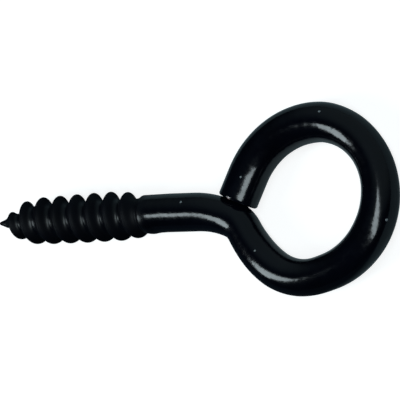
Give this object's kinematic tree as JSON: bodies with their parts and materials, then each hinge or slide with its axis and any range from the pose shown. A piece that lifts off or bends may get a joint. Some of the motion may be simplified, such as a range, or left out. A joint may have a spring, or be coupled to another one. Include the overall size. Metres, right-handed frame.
{
  "type": "screw eye",
  "caption": "Closed eye bent from round steel wire, with a plain shank and a rolled wood-screw thread that ends in a gimlet point.",
  "frame": {"origin": "centre of the bounding box, in the middle plane of the bent wire", "axes": "+X from the gimlet point to the far side of the eye, +Z square to the plane of the eye"},
  "size_m": [0.05, 0.0208, 0.0054],
  "materials": {
    "black_coated_wire": "glossy black coating over steel, smooth, with a few dust nibs"
  },
  "bodies": {
    "root": {"screw_eye": "black_coated_wire"}
  },
  "joints": []
}
